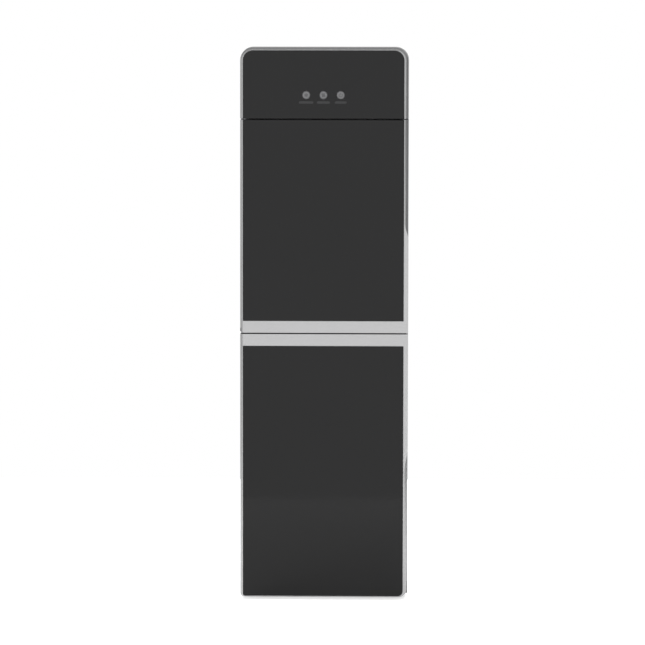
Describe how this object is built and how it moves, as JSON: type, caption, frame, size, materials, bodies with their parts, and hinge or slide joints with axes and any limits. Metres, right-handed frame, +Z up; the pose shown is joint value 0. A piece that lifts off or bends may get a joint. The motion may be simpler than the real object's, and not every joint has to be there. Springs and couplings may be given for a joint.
{
  "type": "water dispenser",
  "caption": "Floor-standing hot and cold water dispenser with a bottle seat on top, a dispensing recess behind an upper glass door and a storage cabinet behind a lower glass door.",
  "frame": {"origin": "centre of the footprint on the floor, under the four feet", "axes": "+Z up; the doors and the control head face -Y; both doors hinge on the -X side"},
  "size_m": [0.31, 0.36, 1.025],
  "materials": {
    "silver_plastic": "satin silver paint on moulded ABS",
    "black_glass": "toughened glass, painted black behind",
    "silver_sheet": "satin silver-grey powder coat",
    "dark_plastic": "fine-grained black",
    "liner_plastic": "smooth white vacuum-formed liner",
    "grey_plastic": "satin mid grey",
    "zinc_steel": "zinc-plated pressed steel",
    "stainless_steel": "brushed stainless steel",
    "copper_tube": null,
    "white_foam": "expanded polystyrene beads",
    "black_rubber": "matt black",
    "silicone_hose": "milky translucent silicone",
    "red_plastic": "red",
    "blue_plastic": "blue",
    "green_plastic": "green",
    "black_steel": "black enamel",
    "indicator_lens": "pale grey ring round a darker symbol",
    "circuit_board": "green solder mask",
    "probe_plastic": "pale blue-white food-grade plastic"
  },
  "bodies": {
    "cabinet": {"head_frame": "silver_plastic", "top_cover": "silver_plastic", "head_glass": "black_glass", "side_panel_left": "silver_sheet", "side_panel_right": "silver_sheet", "back_panel": "silver_sheet", "base_pan": "dark_plastic", "hot_tap": "dark_plastic", "cold_tap": "dark_plastic", "switch_housing": "dark_plastic", "compressor_relay": "dark_plastic", "drain_fitting": "dark_plastic", "storage_liner": "liner_plastic", "dispensing_recess": "grey_plastic", "storage_shelf": "grey_plastic", "hinge_bottom": "zinc_steel", "hinge_middle": "zinc_steel", "hinge_top_pin": "zinc_steel", "tank_bracket": "zinc_steel", "compressor_cradle": "zinc_steel", "cold_tank": "stainless_steel", "hot_tank": "stainless_steel", "evaporator_coil": "copper_tube", "discharge_line": "copper_tube", "suction_line": "copper_tube", "cold_tank_jacket": "white_foam", "hot_tank_jacket": "white_foam", "foot_front_left": "black_rubber", "foot_front_right": "black_rubber", "foot_rear_left": "black_rubber", "foot_rear_right": "black_rubber", "compressor_mount": "black_rubber", "upper_catch": "black_rubber", "lower_catch": "black_rubber", "cord_gland": "black_rubber", "cold_water_hose": "silicone_hose", "hot_water_hose": "silicone_hose", "drain_hose": "silicone_hose", "compressor": "black_steel", "condenser_coil": "black_steel", "heating_element": "black_steel", "indicator_cooling": "indicator_lens", "indicator_heating": "indicator_lens", "indicator_power": "indicator_lens", "indicator_board": "circuit_board"},
    "upper_door": {"upper_door_frame": "silver_plastic", "upper_door_glass": "black_glass", "upper_door_liner": "grey_plastic"},
    "lower_door": {"lower_door_frame": "silver_plastic", "lower_door_glass": "black_glass", "lower_door_liner": "liner_plastic"},
    "bottle_collar": {"bottle_collar": "probe_plastic"},
    "drip_tray": {"drip_tray": "dark_plastic"},
    "drip_grille": {"drip_grille": "stainless_steel"},
    "hot_lever": {"hot_lever": "red_plastic"},
    "child_lock": {"child_lock_slider": "red_plastic"},
    "cold_lever": {"cold_lever": "blue_plastic"},
    "hot_rocker": {"hot_switch_rocker": "red_plastic"},
    "cold_rocker": {"cold_switch_rocker": "green_plastic"},
    "drain_cap": {"drain_cap": "dark_plastic"}
  },
  "joints": [
    {"name": "upper_door_hinge", "type": "hinge", "parent": "cabinet", "child": "upper_door", "pos_m": [-0.1465, -0.162, 0.4987], "axis": [0, 0, -1], "range_deg": [0, 110]},
    {"name": "lower_door_hinge", "type": "hinge", "parent": "cabinet", "child": "lower_door", "pos_m": [-0.1465, -0.162, 0.006], "axis": [0, 0, -1], "range_deg": [0, 110]},
    {"name": "hot_lever_hinge", "type": "hinge", "parent": "cabinet", "child": "hot_lever", "pos_m": [-0.06, -0.066, 0.785], "axis": [1, 0, 0], "range_deg": [0, 8], "stiffness_Nm_per_rad": 0.3, "springref_deg": -6.88},
    {"name": "cold_lever_hinge", "type": "hinge", "parent": "cabinet", "child": "cold_lever", "pos_m": [0.06, -0.066, 0.785], "axis": [1, 0, 0], "range_deg": [0, 8], "stiffness_Nm_per_rad": 0.3, "springref_deg": -6.88},
    {"name": "child_lock_slide", "type": "slide", "parent": "hot_lever", "child": "child_lock", "axis": [0, 1, 0], "range_m": [0, 0.005], "stiffness_N_per_m": 80, "springref_m": -0.002},
    {"name": "drip_tray_lift", "type": "slide", "parent": "cabinet", "child": "drip_tray", "axis": [0, 0, 1], "range_m": [0, 0.04]},
    {"name": "drip_grille_lift", "type": "slide", "parent": "drip_tray", "child": "drip_grille", "axis": [0, 0, 1], "range_m": [0, 0.03]},
    {"name": "bottle_collar_lift", "type": "slide", "parent": "cabinet", "child": "bottle_collar", "axis": [0, 0, 1], "range_m": [0, 0.06]},
    {"name": "hot_rocker_hinge", "type": "hinge", "parent": "cabinet", "child": "hot_rocker", "pos_m": [0.07, 0.1495, 0.855], "axis": [-1, 0, 0], "range_deg": [0, 14]},
    {"name": "cold_rocker_hinge", "type": "hinge", "parent": "cabinet", "child": "cold_rocker", "pos_m": [0.1, 0.1495, 0.855], "axis": [-1, 0, 0], "range_deg": [0, 14]},
    {"name": "drain_cap_unscrew", "type": "slide", "parent": "cabinet", "child": "drain_cap", "axis": [0, 1, 0], "range_m": [0, 0.01]}
  ]
}
